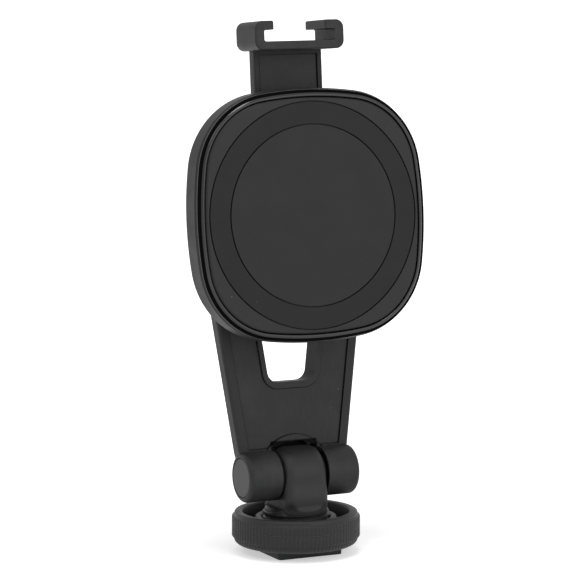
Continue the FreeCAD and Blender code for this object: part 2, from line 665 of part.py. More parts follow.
def make_arm_frame():
    body = new_body("arm_frame")
    seat(body)
    depth = ARM_BACK + " + neck_front"

    # front view: tapered plate, round head tangent to it, and neck
    sketch = new_sketch(body, "XY_Plane", "-" + ARM_BACK)
    root, low = "(root_half - root_step)", arm_half("barrel_radius + root_step")
    polygon(sketch, [("-" + root, "0"), (root, "0"), (root, "barrel_radius / 2"), (low, "barrel_radius + root_step"),
                     (TANGENT_HALF, TANGENT_RISE), ("-" + TANGENT_HALF, TANGENT_RISE),
                     ("-" + low, "barrel_radius + root_step"), ("-" + root, "barrel_radius / 2")])
    pad(body, sketch, depth)
    sketch = new_sketch(body, "XY_Plane", "-" + ARM_BACK)
    circle(sketch, HEAD_RADIUS, "0", "plate_rise")
    pad(body, sketch, depth)
    sketch = new_sketch(body, "XY_Plane", "-" + ARM_BACK)
    rectangle(sketch, "-neck_half", "plate_rise", "neck_half", "shoe_height + shoe_floor / 2")
    pad(body, sketch, depth)

    # side view: the plate folds forward behind the magnetic plate and goes on as the thinner head and neck
    sketch = new_sketch(body, "YZ_Plane")
    polygon(sketch, [("-1", "-arm_set"), ("fold_start", "-arm_set"), ("fold_end", "neck_front"),
                     ("fold_end", "neck_front + 1"), ("-1", "neck_front + 1")])
    polygon(sketch, [("fold_start", "-" + ARM_BACK), ("fold_end", NECK_BACK),
                     ("shoe_height + shoe_floor", NECK_BACK), ("shoe_height + shoe_floor", "-%s - 1" % ARM_BACK),
                     ("fold_start", "-%s - 1" % ARM_BACK)])
    pocket(body, sketch, "4 * " + HEAD_RADIUS, both_ways=True)
    # long edges of the neck and of the tapered plate
    side, levels = value("neck_half"), (value("neck_front"), value(NECK_BACK))
    dress(body, "Fillet", lambda edge: edge.BoundBox.XLength < 0.01 and edge.BoundBox.YLength > 10
          and near(abs(edge.BoundBox.XMin), side) and any(near(edge.BoundBox.ZMin, z) for z in levels), "neck_edge")
    flare = value("flare")
    dress(body, "Fillet", lambda edge: edge.Curve.TypeId == "Part::GeomLine" and edge.Length > 20
          and near(abs(edge.tangentAt(edge.FirstParameter).x), flare / (1 + flare ** 2) ** 0.5, 0.001), "arm_edge")

    # recessed panel with a fine groove along its edge, then the rims round the knuckle and the window, each
    # with the same groove outside it
    sunk = "(panel_depth + line_depth)"
    sketch = new_sketch(body, "XY_Plane", "-arm_set")
    panel_outline(sketch, "0")
    pocket(body, sketch, sunk)
    sketch = new_sketch(body, "XY_Plane", "-arm_set - " + sunk)
    panel_outline(sketch, "line_width")
    pad(body, sketch, "line_depth")
    sketch = new_sketch(body, "XY_Plane", "-arm_set")
    half_disc(sketch, "arch_radius + arch_rim + line_width")
    pocket(body, sketch, sunk)
    sketch = new_sketch(body, "XY_Plane", "-arm_set - " + sunk)
    half_disc(sketch, "arch_radius + arch_rim")
    pad(body, sketch, sunk)
    sketch = new_sketch(body, "XY_Plane", "-arm_set")
    window_frame(sketch, "line_width")
    pocket(body, sketch, sunk)
    sketch = new_sketch(body, "XY_Plane", "-arm_set - " + sunk)
    window_frame(sketch, "0")
    pad(body, sketch, sunk)
    top_half = "(window_half + flare * (window_high - window_low))"
    front = new_sketch(body, "XY_Plane", "-arm_set")
    polygon(front, [("-window_half", "window_low"), ("window_half", "window_low"),
                    (top_half, "window_high"), ("-" + top_half, "window_high")])
    back = new_sketch(body, "XY_Plane", "-" + ARM_BACK)
    polygon(back, [("-window_half + window_draft", "window_low"), ("window_half - window_draft", "window_low"),
                   (top_half + " - window_draft", "window_high"), ("-%s + window_draft" % top_half, "window_high")])
    window = body.newObject("PartDesign::SubtractiveLoft", "window")
    window.Profile = front
    window.Sections = [back]
    window.Ruled = True
    doc.recompute()
    corners = [(value("window_half"), value("window_low")), (value(top_half), value("window_high"))]
    dress(body, "Fillet", lambda edge: joins_faces(edge, value("-arm_set"), value("-" + ARM_BACK), corners), "window_corner")

    # arched pocket over the knuckle, barrels, and the round clearance between them
    sketch = new_sketch(body, "XY_Plane", "-arm_set")
    circle(sketch, "arch_radius")
    pocket(body, sketch, "arch_depth")
    rounded_bar(body, HALF_BARREL, "barrel_radius", "barrel_edge")
    sketch = new_sketch(body, "YZ_Plane")
    circle(sketch, "knuckle_radius + knuckle_play")
    pocket(body, sketch, "barrel_gap", both_ways=True)

    # neck panel with the same fine groove
    sketch = new_sketch(body, "XY_Plane", "neck_front")
    rectangle(sketch, "-(neck_half - neck_rim)", "neck_panel_low", "neck_half - neck_rim",
              "shoe_height - neck_panel_gap")
    pocket(body, sketch, "neck_panel_depth + line_depth")
    sketch = new_sketch(body, "XY_Plane", "neck_front - neck_panel_depth - line_depth")
    rectangle(sketch, "-(neck_half - neck_rim - line_width)", "neck_panel_low + line_width",
              "neck_half - neck_rim - line_width", "shoe_height - neck_panel_gap - line_width")
    pad(body, sketch, "line_depth")

    # cold shoe: a C rail along z with round outer corners
    sketch = new_sketch(body, "XY_Plane", "shoe_back")
    rectangle(sketch, "-shoe_half", "shoe_height", "shoe_half", "shoe_height + " + SHOE_HEIGHT)
    pad(body, sketch, "shoe_front - shoe_back")
    low, high, x = value("shoe_height"), value("shoe_height + " + SHOE_HEIGHT), value("shoe_half")
    dress(body, "Fillet", lambda edge: along_z_at(edge, [(x, low), (-x, low), (x, high), (-x, high)]), "shoe_corner")
    front, rear = value("shoe_front"), value("shoe_back")
    dress(body, "Fillet", lambda edge: at_height(edge, front, 0) or at_height(edge, rear, 0)
          and edge.BoundBox.YMin > low - 0.1, "shoe_edge")
    floor, roof = "(shoe_height + shoe_floor)", "(shoe_height + shoe_floor + shoe_slot)"
    sketch = new_sketch(body, "XY_Plane", "shoe_front + 1")
    polygon(sketch, [("-shoe_slot_half", floor), ("shoe_slot_half", floor), ("shoe_slot_half", roof),
                     ("shoe_mouth_half", roof), ("shoe_mouth_half", roof + " + shoe_lip + 1"),
                     ("-shoe_mouth_half", roof + " + shoe_lip + 1"), ("-shoe_mouth_half", roof),
                     ("-shoe_slot_half", roof)])
    pocket(body, sketch, "shoe_front - shoe_back + 2")
    x, low, high, mouth = value("shoe_slot_half"), value(floor), value(roof), value("shoe_mouth_half")
    top = value("shoe_height + " + SHOE_HEIGHT)
    dress(body, "Fillet", lambda edge: along_z_at(edge, [(x, low), (-x, low), (x, high), (-x, high), (mouth, top),
                                                         (-mouth, top)]), "shoe_inner_corner")

    # swivel hub in front of the head, and the boss for its nut behind
    sketch = new_sketch(body, "XY_Plane", NECK_BACK)
    circle(sketch, "hub_radius", "0", "plate_rise")
    pad(body, sketch, "hub_front - " + NECK_BACK)
    sketch = new_sketch(body, "XY_Plane", "boss_end")
    circle(sketch, "boss_radius", "0", "plate_rise")
    pad(body, sketch, "neck_front - boss_end")
    dress(body, "Fillet", lambda edge: is_ring(edge, value("boss_radius"), value("boss_end")), "arm_edge")
    sketch = new_sketch(body, "XY_Plane", "hub_front + 1")
    circle(sketch, "swivel_radius + swivel_play", "0", "plate_rise")
    pocket(body, sketch, "hub_front - boss_end + 2")
    sketch = new_sketch(body, "XY_Plane", "swivel_seat")
    circle(sketch, "swivel_pocket_radius", "0", "plate_rise")
    pocket(body, sketch, "swivel_seat - boss_end + 1")
    sketch = new_sketch(body, "XY_Plane", "boss_end + cap_thick")
    circle(sketch, "swivel_cap_radius + cap_play", "0", "plate_rise")
    pocket(body, sketch, "cap_thick + 1")

    # bolt hole, pockets for the bolt's head and the nut, and a seat for a cap in each end
    sketch = new_sketch(body, "YZ_Plane")
    circle(sketch, "bolt_radius + bolt_play")
    pocket(body, sketch, "barrel_length + 2", both_ways=True)
    sketch = new_sketch(body, "YZ_Plane", "-" + POCKET_FLOOR)
    circle(sketch, "head_pocket_radius")
    pocket(body, sketch, "barrel_length / 2")
    sketch = new_sketch(body, "YZ_Plane", POCKET_FLOOR)
    hexagon(sketch, "nut_width")
    pocket(body, sketch, "barrel_length / 2", upward=True)
    sketch = new_sketch(body, "YZ_Plane", "-(%s - cap_thick)" % HALF_BARREL)
    circle(sketch, "cap_radius + cap_play")
    pocket(body, sketch, "cap_thick + 1")
    sketch = new_sketch(body, "YZ_Plane", "%s - cap_thick" % HALF_BARREL)
    circle(sketch, "cap_radius + cap_play")
    pocket(body, sketch, "cap_thick + 1", upward=True)


def make_hinge_bolt():
    body = new_body("hinge_bolt")
    seat(body)
    head_seat = "(%s + spring_thick)" % POCKET_FLOOR
    sketch = new_sketch(body, "YZ_Plane", "-" + head_seat)
    circle(sketch, "bolt_radius")
    pad(body, sketch, "%s + %s + nut_thick" % (head_seat, POCKET_FLOOR))
    sketch = new_sketch(body, "YZ_Plane", "-(%s + bolt_head_height)" % head_seat)
    circle(sketch, "bolt_head_radius")
    pad(body, sketch, "bolt_head_height")
    sketch = new_sketch(body, "YZ_Plane", "-(%s + bolt_head_height)" % head_seat)
    hexagon(sketch, "bolt_socket")
    pocket(body, sketch, "bolt_head_height * 0.6", upward=True)


def make_hinge_nut():
    body = new_body("hinge_nut")
    seat(body)
    sketch = new_sketch(body, "YZ_Plane", POCKET_FLOOR)
    hexagon(sketch, "nut_width")
    circle(sketch, "bolt_radius")
    pad(body, sketch, "nut_thick")


def make_disc_spring():
    """A coned washer under the bolt's head."""
    body = new_body("disc_spring")
    seat(body)
    thin = "(spring_thick * 0.5)"
    inner = "bolt_radius"
    turn_profile(body, [
        ("-%s" % POCKET_FLOOR, "spring_radius"),
        ("-(%s + %s)" % (POCKET_FLOOR, thin), "spring_radius"),
        ("-(%s + spring_thick)" % POCKET_FLOOR, inner),
        ("-(%s + spring_thick - %s)" % (POCKET_FLOOR, thin), inner),
    ], role="X_Axis", plane="XY_Plane")


def make_caps():
    for side, sign in (("left", "-"), ("right", "")):
        body = new_body("cap_" + side)
        seat(body)
        inside = "%s(%s - cap_thick)" % (sign, HALF_BARREL)
        sketch = new_sketch(body, "YZ_Plane", inside)
        circle(sketch, "cap_radius")
        feature = pad(body, sketch, "cap_thick")
        feature.Reversed = side == "left"
        doc.recompute()
        end = value(sign + HALF_BARREL)
        dress(body, "Chamfer", lambda edge: is_ring(edge, value("cap_radius"), end, "x"), "cap_edge")


# Swivel

def make_swivel():
    body = plain_ring("hub_washer", "XY_Plane", "hub_front", "hub_washer_thick", "hub_radius",
                      "swivel_radius + swivel_play")
    seat(body, "plate_rise")

    body = new_body("swivel_bolt")
    seat(body, "plate_rise")
    sketch = new_sketch(body, "XY_Plane", "swivel_seat - spring_thick - nut_thick")
    circle(sketch, "swivel_radius")
    pad(body, sketch, "%s - swivel_seat + spring_thick + nut_thick" % SHELL_INSIDE)
    sketch = new_sketch(body, "XY_Plane", SHELL_INSIDE)
    circle(sketch, "swivel_head_radius")
    pad(body, sketch, "swivel_head_height")
    sketch = new_sketch(body, "XY_Plane", SHELL_INSIDE + " + swivel_head_height")
    hexagon(sketch, "bolt_socket")
    pocket(body, sketch, "swivel_head_height * 0.6")

    body = new_body("swivel_spring")
    seat(body, "plate_rise")
    thin = "(spring_thick * 0.5)"
    turn_profile(body, [
        ("swivel_radius", "swivel_seat - spring_thick"),
        ("swivel_radius", "swivel_seat - spring_thick + %s" % thin),
        ("spring_radius", "swivel_seat - hub_play"),
        ("spring_radius", "swivel_seat - hub_play - %s" % thin),
    ])

    body = new_body("swivel_nut")
    seat(body, "plate_rise")
    sketch = new_sketch(body, "XY_Plane", "swivel_seat - spring_thick - nut_thick")
    hexagon(sketch, "nut_width")
    circle(sketch, "swivel_radius")
    pad(body, sketch, "nut_thick")

    body = new_body("swivel_cap")
    seat(body, "plate_rise")
    sketch = new_sketch(body, "XY_Plane", "boss_end")
    circle(sketch, "swivel_cap_radius")
    pad(body, sketch, "cap_thick")
    dress(body, "Chamfer", lambda edge: is_ring(edge, value("swivel_cap_radius"), value("boss_end")), "cap_edge")


# Magnetic plate

SCREW_PLACES = [(sx + "(screw_ring / sqrt(2))", sy + "(screw_ring / sqrt(2))") for sx in ("", "-") for sy in ("", "-")]


def make_rear_shell():
    body = new_body("rear_shell")
    seat(body, "plate_rise")
    sketch = new_sketch(body, "XY_Plane", SHELL_BACK)
    bowed_square(sketch)
    pad(body, sketch, "shell_depth - shell_front")
    reach = value("plate_half") / 2
    dress(body, "Fillet", lambda edge: at_height(edge, value(SHELL_BACK), reach), "shell_back_edge")
    front = value("face_reach - shell_front")
    bevel = dress(body, "Chamfer", lambda edge: at_height(edge, front, reach), "shell_chamfer")
    bevel.ChamferType = "Two distances"
    bind(bevel, "Size", "shell_chamfer_depth")
    bind(bevel, "Size2", "shell_chamfer")
    doc.recompute()
    slope = min(bevel.Shape.Edges, key=lambda edge: 0 if at_height(edge, front, reach) else 1)
    if near(abs(slope.BoundBox.XMax), value("plate_half - shell_chamfer_depth"), 0.05):
        bevel.FlipDirection = True
        doc.recompute()

    # rebate that the bezel sits in, then the hollow
    sketch = new_sketch(body, "XY_Plane", "face_reach")
    bowed_square(sketch, "(bezel_inset - trim_gap)")
    pocket(body, sketch, "bezel_front + bezel_depth")
    sketch = new_sketch(body, "XY_Plane", "face_reach")
    bowed_square(sketch, "(shell_wall + trim_gap)")
    pocket(body, sketch, "shell_depth - shell_floor")

    # screw bosses in the corners, then the screws' holes and the swivel's hole
    sketch = new_sketch(body, "XY_Plane", SHELL_INSIDE + " - 0.2")
    for x, y in SCREW_PLACES:
        circle(sketch, "screw_boss_radius", x, y)
    pad(body, sketch, "%s - screw_sink - %s" % (COVER_BACK, SHELL_INSIDE))
    sketch = new_sketch(body, "XY_Plane", COVER_BACK)
    for x, y in SCREW_PLACES:
        circle(sketch, "screw_radius + 0.1", x, y)
    pocket(body, sketch, "shell_depth")
    sketch = new_sketch(body, "XY_Plane", SHELL_BACK)
    for x, y in SCREW_PLACES:
        circle(sketch, "screw_head_radius + 0.1", x, y)
    pocket(body, sketch, "screw_head_height", upward=True)
    sketch = new_sketch(body, "XY_Plane", COVER_BACK)
    circle(sketch, "swivel_radius + swivel_play / 2")
    pocket(body, sketch, "shell_depth")


def make_bezel():
    body = new_body("bezel")
    seat(body, "plate_rise")
    sketch = new_sketch(body, "XY_Plane", "face_reach - bezel_front - bezel_depth")
    bowed_square(sketch, "bezel_inset")
    pad(body, sketch, "bezel_depth")
    sketch = new_sketch(body, "XY_Plane", "face_reach")
    bowed_square(sketch, "(bezel_inset + bezel_width)")
    pocket(body, sketch, "bezel_front + bezel_depth")
    front = value("face_reach - bezel_front")
    dress(body, "Fillet", lambda edge: at_height(edge, front, value("plate_half") / 2), "bezel_edge")


def make_front_cover():
    body = new_body("front_cover")
    seat(body, "plate_rise")
    sketch = new_sketch(body, "XY_Plane", COVER_BACK)
    bowed_square(sketch, COVER_INSET)
    pad(body, sketch, "cover_thick")
    dress(body, "Fillet", lambda edge: at_height(edge, value("face_reach"), value("plate_half") / 2), "cover_edge")
    sketch = new_sketch(body, "XY_Plane", "face_reach")
    circle(sketch, "face_recess_radius")
    pocket(body, sketch, "face_recess_depth")
    # bosses that the shell's screws go into
    sketch = new_sketch(body, "XY_Plane", COVER_BACK + " - screw_sink")
    for x, y in SCREW_PLACES:
        circle(sketch, "screw_boss_radius - 0.4", x, y)
    pad(body, sketch, "screw_sink")
    sketch = new_sketch(body, "XY_Plane", COVER_BACK + " - screw_sink")
    for x, y in SCREW_PLACES:
        circle(sketch, "screw_radius", x, y)
    pocket(body, sketch, "screw_length + screw_head_height - screw_sink - %s + %s" % (COVER_BACK, SHELL_BACK)
           + " + 2 * screw_sink + 0.1", upward=True)


def make_face():
    """The silicone ring and the disc inside it, with a narrow groove round each."""
    bottom = "(face_reach - face_recess_depth)"
    body = plain_ring("grip_ring", "XY_Plane", bottom, "face_recess_depth",
                      "face_recess_radius - groove_width", "disc_radius + groove_width")
    seat(body, "plate_rise")
    body = new_body("centre_disc")
    seat(body, "plate_rise")
    sketch = new_sketch(body, "XY_Plane", bottom)
    circle(sketch, "disc_radius")
    pad(body, sketch, "face_recess_depth")


MAGNET_TOP = "(%s - magnet_play)" % COVER_BACK
YOKE_TOP = "(%s - magnet_thick)" % MAGNET_TOP
CHANNEL_FLOOR = "(%s - yoke_thick)" % YOKE_TOP


def make_magnets():
    """Flat arc magnets set end to end in a ring, one solid each."""
    blank = doc.addObject("Part::Cylinder", "magnet_blank")
    bind(blank, "Radius", "magnet_outer")
    bind(blank, "Height", "magnet_thick")
    bind(blank, "Angle", "360 / magnet_count - magnet_gap / magnet_outer * 57.3")
    core = doc.addObject("Part::Cylinder", "magnet_core")
    bind(core, "Radius", "magnet_inner")
    bind(core, "Height", "magnet_thick")
    one = doc.addObject("Part::Cut", "magnet_one")
    one.Base = blank
    one.Tool = core
    doc.recompute()
    count = int(value("magnet_count"))
    copies = []
    for i in range(count):
        copy = one.Shape.copy()
        copy.Placement = FreeCAD.Placement(Vector(0, 0, value(YOKE_TOP)), Rotation(Vector(0, 0, 1), 360.0 * i / count))
        copies.append(copy)
    ring = doc.addObject("Part::Feature", "magnet_array")
    ring.Label = "magnet_array"
    ring.Shape = Part.makeCompound(copies)
    parts.append(ring)
    seat(ring, "plate_rise")


def make_yoke_and_carrier():
    body = plain_ring("yoke_ring", "XY_Plane", CHANNEL_FLOOR, "yoke_thick", "magnet_outer", "magnet_inner")
    seat(body, "plate_rise")
    body = new_body("magnet_carrier")
    seat(body, "plate_rise")
    outer, inner = "(magnet_outer + magnet_play + carrier_wall)", "(magnet_inner - magnet_play - carrier_wall)"
    relief = "(%s + carrier_relief)" % SHELL_INSIDE
    turn_profile(body, [
        (inner, SHELL_INSIDE), (inner + " + carrier_wall", SHELL_INSIDE), (inner + " + carrier_wall", relief),
        (outer + " - carrier_wall", relief), (outer + " - carrier_wall", SHELL_INSIDE), (outer, SHELL_INSIDE),
        (outer, MAGNET_TOP), ("magnet_outer + magnet_play", MAGNET_TOP),
        ("magnet_outer + magnet_play", CHANNEL_FLOOR), ("magnet_inner - magnet_play", CHANNEL_FLOOR),
        ("magnet_inner - magnet_play", MAGNET_TOP), (inner, MAGNET_TOP),
    ])


def make_shell_screws():
    """Four small screws from the back, one solid each."""
    shank = doc.addObject("Part::Cylinder", "screw_shank")
    bind(shank, "Radius", "screw_radius")
    bind(shank, "Height", "screw_length")
    head = doc.addObject("Part::Cylinder", "screw_head")
    bind(head, "Radius", "screw_head_radius")
    bind(head, "Height", "screw_head_height")
    doc.recompute()
    copies = []
    for x, y in SCREW_PLACES:
        top = value(SHELL_BACK + " + screw_head_height")
        one = shank.Shape.translated(Vector(value(x), value(y), top))
        cap = head.Shape.translated(Vector(value(x), value(y), value(SHELL_BACK)))
        copies.append(one.fuse(cap).removeSplitter())
    group = doc.addObject("Part::Feature", "shell_screws")
    group.Label = "shell_screws"
    group.Shape = Part.makeCompound([solid for shape in copies for solid in shape.Solids])
    parts.append(group)
    seat(group, "plate_rise")


make_shoe_stem()
make_hinge_bush()
make_friction_washers()
make_clamp_washer()
make_lock_ring()
make_arm_frame()
make_hinge_bolt()
make_hinge_nut()
make_disc_spring()
make_caps()
make_swivel()
make_rear_shell()
make_bezel()
make_front_cover()
make_face()
make_magnets()
make_yoke_and_carrier()
make_shell_screws()
doc.recompute()

for item in doc.Objects:
    if "Invalid" in item.State or "Error" in item.State:
        raise SystemExit("%s did not build: %s" % (item.Name, item.State))

os.makedirs("parts", exist_ok=True)
for item in parts:
    shape = item.Shape
    if shape.isNull() or not shape.isValid() or not shape.Solids:
        raise SystemExit("%s has no valid solid" % item.Label)
    shape.exportStep("parts/%s.step" % item.Label)
    print("%-24s %2d solid %9.1f mm3" % (item.Label, len(shape.Solids), shape.Volume))
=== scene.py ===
import json
import math
import bpy
import numpy as np
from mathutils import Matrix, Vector


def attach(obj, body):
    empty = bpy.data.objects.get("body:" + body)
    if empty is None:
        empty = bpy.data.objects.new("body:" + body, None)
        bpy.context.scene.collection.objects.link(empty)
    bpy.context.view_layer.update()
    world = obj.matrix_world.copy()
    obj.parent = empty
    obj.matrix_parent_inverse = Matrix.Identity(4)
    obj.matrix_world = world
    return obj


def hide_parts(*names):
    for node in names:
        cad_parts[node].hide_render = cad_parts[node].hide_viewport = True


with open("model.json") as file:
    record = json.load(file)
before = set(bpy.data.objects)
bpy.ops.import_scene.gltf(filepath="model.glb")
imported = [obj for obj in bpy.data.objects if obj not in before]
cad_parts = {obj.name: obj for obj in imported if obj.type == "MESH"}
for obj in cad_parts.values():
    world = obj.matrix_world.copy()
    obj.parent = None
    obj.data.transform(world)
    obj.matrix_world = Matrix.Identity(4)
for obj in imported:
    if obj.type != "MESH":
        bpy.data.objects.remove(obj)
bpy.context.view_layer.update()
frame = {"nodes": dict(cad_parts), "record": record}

nodes = frame["nodes"]
scene = bpy.context.scene
MM = 0.001
TURN = 2 * math.pi

# The tilting group's own frame, as in the CAD source: x along the hinge, h up the arm, w towards the phone.
# It leans back by LEAN. The hinge's height, the plate's middle along h and its face along w are in mm.
LEAN = math.radians(4.84)
HINGE_Z = 20.15
PLATE_RISE = 65.9
FACE = 15.85


def on_plate(x, h, w):
    """Points of the tilting group's frame, with h from the plate's middle, as mm in the row frame."""
    h = h + PLATE_RISE
    y = -w * math.cos(LEAN) + h * math.sin(LEAN)
    z = HINGE_Z + w * math.sin(LEAN) + h * math.cos(LEAN)
    return np.stack([x, y, z], 1)


# Materials

# a scale is in cells a metre, a span is the part of a value that becomes a whole step, and the painted shade
# in the arch on the arm is in mm
SPREAD = (0.3, 0.7)
BROAD_SCALE, BROAD_DETAIL, BROAD_ROUGH = 160.0, 4.0, 0.6
GRAIN_SCALE, GRAIN_DETAIL, GRAIN_ROUGH = 2600.0, 3.0, 0.65
STREAK_SCALE, STREAK_DETAIL = 1500.0, 2.0
DRAWN_SCALE, DRAWN_DETAIL, DRAWN_DEPTH, DRAWN_DARK = 3000.0, 3.0, 0.000004, 0.8
MOULDED_SWING, PLATED_SWING = 0.05, 0.07
GRAIN_SPAN, GRAIN_SHARE, GRAIN_GAIN = (0.42, 0.7), 0.35, 1.7
STREAK_SPAN, STREAK_STRETCH, STREAK_GAIN = (0.5, 0.75), (1.0, 1.0, 0.12), 2.5
EDGE_SPAN, PATCH_SPAN, WEAR_AND_HIGHLIGHT_GAIN = (0.52, 0.6), (0.35, 0.65), 3.0
SPECK_SIZES, SPECK_RADIUS, SPECK_LEVEL = ((900.0, 1.0), (420.0, 0.25)), 0.16, 0.09
ARCH_SHADE_RADIUS, ARCH_SHADE_HALF_WIDTH, ARCH_SHADE_LEVEL, ARCH_SHADE_GLOSS = 8.7, 6.62, 0.003, 0.2


def new_material(name):
    material = bpy.data.materials.new(name)
    material.use_nodes = True
    tree = material.node_tree
    tree.nodes.clear()
    return material, tree


def add(tree, kind, inputs=(), **settings):
    """A node, with its inputs given by socket name or number as a value or another node's socket."""
    node = tree.nodes.new(kind)
    for key, value in settings.items():
        setattr(node, key, value)
    for key, value in dict(inputs).items():
        if isinstance(value, bpy.types.NodeSocket):
            tree.links.new(value, node.inputs[key])
        else:
            node.inputs[key].default_value = value
    return node


def maths(tree, operation, *values):
    return add(tree, "ShaderNodeMath", enumerate(values), operation=operation).outputs[0]


def ramp(tree, source, low, high, to_low=0.0, to_high=1.0):
    return add(tree, "ShaderNodeMapRange", {0: source, 1: low, 2: high, 3: to_low, 4: to_high}).outputs[0]


def noise(tree, place, scale, detail, roughness=0.5):
    return add(tree, "ShaderNodeTexNoise",
               {"Vector": place, "Scale": scale, "Detail": detail, "Roughness": roughness}).outputs[0]


def object_place(tree):
    return add(tree, "ShaderNodeTexCoord").outputs["Object"]


def stretched(tree, place, stretch):
    return add(tree, "ShaderNodeMapping", {"Vector": place, "Scale": stretch}).outputs[0]


def blend_colour(tree, share, first, second):
    return add(tree, "ShaderNodeMix", {0: share, 6: first, 7: second}, data_type="RGBA").outputs[2]


def tone(colour, factor=1.0):
    return (colour[0] * factor, colour[1] * factor, colour[2] * factor, 1)


def neutral(level):
    return (level, level, level, 1)


def surface(tree, colour, rough, height, depth, channel, level):
    """The shader and its output, with a bump in metres and one more of the shader's values by name."""
    bump = add(tree, "ShaderNodeBump", {"Height": height, "Distance": depth, "Strength": 1.0}).outputs[0]
    shader = add(tree, "ShaderNodeBsdfPrincipled",
                 {"Base Color": colour, "Roughness": rough, "Normal": bump, channel: level})
    add(tree, "ShaderNodeOutputMaterial", {0: shader.outputs[0]})


def moulded(name, colour, roughness, grain=GRAIN_SCALE, depth=0.00001, mottle=0.12, edge_wear_and_highlight=0.0, dust=0.0,
            specular=0.25, streaks=0.0):
    """Moulded plastic or rubber: the grain of an eroded mould, mottling, faint upright streaks, paler edges
    that are partly wear and partly a painted highlight, and a few specks of dust."""
    material, tree = new_material(name)
    place = object_place(tree)
    fine = noise(tree, place, grain, GRAIN_DETAIL, GRAIN_ROUGH)
    broad = noise(tree, place, BROAD_SCALE, BROAD_DETAIL, BROAD_ROUGH)
    shade = blend_colour(tree, ramp(tree, broad, *SPREAD), tone(colour, 1 - mottle), tone(colour, 1 + mottle))
    grains = ramp(tree, fine, *GRAIN_SPAN, 0.0, GRAIN_SHARE)
    shade = blend_colour(tree, grains, shade, tone(colour, GRAIN_GAIN))
    if streaks > 0:
        lines = noise(tree, stretched(tree, place, STREAK_STRETCH), STREAK_SCALE, STREAK_DETAIL)
        drawn = ramp(tree, lines, *STREAK_SPAN, 0.0, streaks)
        shade = blend_colour(tree, drawn, shade, tone(colour, STREAK_GAIN))
    # paler edges by pointiness in patches: partly wear, partly a painted highlight along rims such as the
    # cover's
    if edge_wear_and_highlight > 0:
        edge = ramp(tree, add(tree, "ShaderNodeNewGeometry").outputs["Pointiness"], *EDGE_SPAN, 0.0, edge_wear_and_highlight)
        worn_and_highlit = maths(tree, "MULTIPLY", edge, ramp(tree, broad, *PATCH_SPAN))
        shade = blend_colour(tree, worn_and_highlit, shade, tone(colour, WEAR_AND_HIGHLIGHT_GAIN))
    if dust > 0:
        for scale, part in SPECK_SIZES:
            cells = add(tree, "ShaderNodeTexVoronoi", {"Vector": place, "Scale": scale})
            close = maths(tree, "LESS_THAN", cells.outputs["Distance"], SPECK_RADIUS)
            pick = add(tree, "ShaderNodeSeparateColor", {0: cells.outputs["Color"]}).outputs[0]
            chosen = maths(tree, "GREATER_THAN", pick, 1.0 - dust * part)
            shade = blend_colour(tree, maths(tree, "MULTIPLY", close, chosen), shade, neutral(SPECK_LEVEL))
    rough = ramp(tree, broad, *SPREAD, roughness - MOULDED_SWING, roughness + MOULDED_SWING)
    surface(tree, shade, rough, fine, depth, "Specular IOR Level", specular)
    return material


def plated(name, colour, roughness, stretch=(1.0, 1.0, 1.0)):
    """Plated or spring steel with fine drawn lines."""
    material, tree = new_material(name)
    drawn = noise(tree, stretched(tree, object_place(tree), stretch), DRAWN_SCALE, DRAWN_DETAIL)
    rough = ramp(tree, drawn, *SPREAD, roughness - PLATED_SWING, roughness + PLATED_SWING)
    base = blend_colour(tree, drawn, tone(colour, DRAWN_DARK), tone(colour))
    surface(tree, base, rough, drawn, DRAWN_DEPTH, "Metallic", 1.0)
    return material


def recolour(material, inside, level, gloss):
    """Turn a moulded material to a plain grey where the share is one, and weaken its gloss there."""
    tree = material.node_tree
    shader = next(node for node in tree.nodes if node.type == "BSDF_PRINCIPLED")
    colour, specular = shader.inputs["Base Color"], shader.inputs["Specular IOR Level"]
    tree.links.new(blend_colour(tree, inside, colour.links[0].from_socket, neutral(level)), colour)
    if gloss < 1.0:
        full = specular.default_value
        tree.links.new(ramp(tree, inside, 0.0, 1.0, full, full * gloss), specular)


def between(tree, distance, low, high, soft=0.03):
    """One where a distance in metres lies between two values in mm."""
    return maths(tree, "MULTIPLY", ramp(tree, distance, low * MM, (low + soft) * MM),
                 ramp(tree, distance, high * MM, (high - soft) * MM))


def banded(material, direction, low, high, level, gloss):
    """Recolour a moulded material between two distances in mm along a direction."""
    tree = material.node_tree
    depth = add(tree, "ShaderNodeVectorMath", {0: object_place(tree), 1: direction},
                operation="DOT_PRODUCT").outputs["Value"]
    recolour(material, between(tree, depth, low, high), level, gloss)


def painted_arch_shade(material):
    """Paint shade into a moulded material close round the middle of the hinge: a painted shade in the arch
    round the knuckle, darker and less glossy.
    """
    tree = material.node_tree
    place = object_place(tree)
    flat = add(tree, "ShaderNodeVectorMath", {0: place, 1: (0.0, 1.0, 1.0)}, operation="MULTIPLY").outputs[0]
    away = add(tree, "ShaderNodeVectorMath", {0: flat, 1: (0.0, 0.0, HINGE_Z * MM)},
               operation="DISTANCE").outputs["Value"]
    across = maths(tree, "ABSOLUTE", add(tree, "ShaderNodeSeparateXYZ", {0: place}).outputs[0])
    inside = maths(tree, "MULTIPLY", between(tree, away, 0.0, ARCH_SHADE_RADIUS, soft=0.3),
                   ramp(tree, across, ARCH_SHADE_HALF_WIDTH * MM, (ARCH_SHADE_HALF_WIDTH - 0.2) * MM))
    recolour(material, inside, ARCH_SHADE_LEVEL, ARCH_SHADE_GLOSS)


